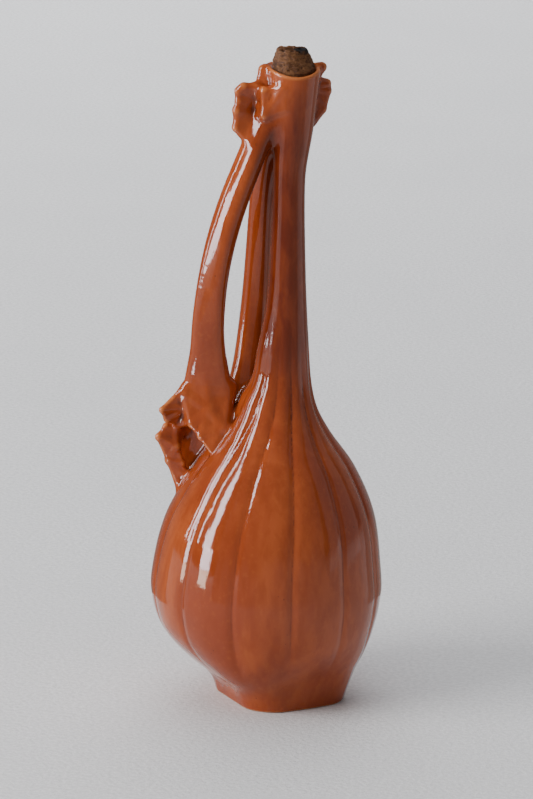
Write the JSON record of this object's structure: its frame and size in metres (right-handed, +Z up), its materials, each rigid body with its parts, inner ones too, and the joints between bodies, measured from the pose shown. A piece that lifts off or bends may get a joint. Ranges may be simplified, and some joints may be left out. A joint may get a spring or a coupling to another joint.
{
  "type": "corked ceramic bottle",
  "caption": "Tall glazed stoneware bottle with a fluted belly, square foot, slender neck, two-armed leaf handle and a lift-out cork.",
  "frame": {"origin": "middle of the flat underside of the foot", "axes": "+Z up along the bottle to the mouth; -X towards the handle's root on the shoulder; the foot's corners lie on the X and Y axes"},
  "size_m": [0.1128, 0.1128, 0.326],
  "materials": {
    "glaze": "glossy orange-brown glaze that breaks lighter on edges",
    "cork": "matt natural cork, pitted"
  },
  "bodies": {
    "bottle": {"bottle_body": "glaze", "handle_arm_front": "glaze", "handle_arm_rear": "glaze", "root_leaf_bud": "glaze", "root_leaf_tip": "glaze", "root_leaf_front": "glaze", "root_leaf_back": "glaze", "upper_leaf_front": "glaze", "upper_leaf_rear": "glaze"},
    "cork": {"cork_stopper": "cork"}
  },
  "joints": [
    {"name": "cork_lift", "type": "slide", "parent": "bottle", "child": "cork", "axis": [0, 0, 1], "range_m": [0, 0.045]}
  ]
}
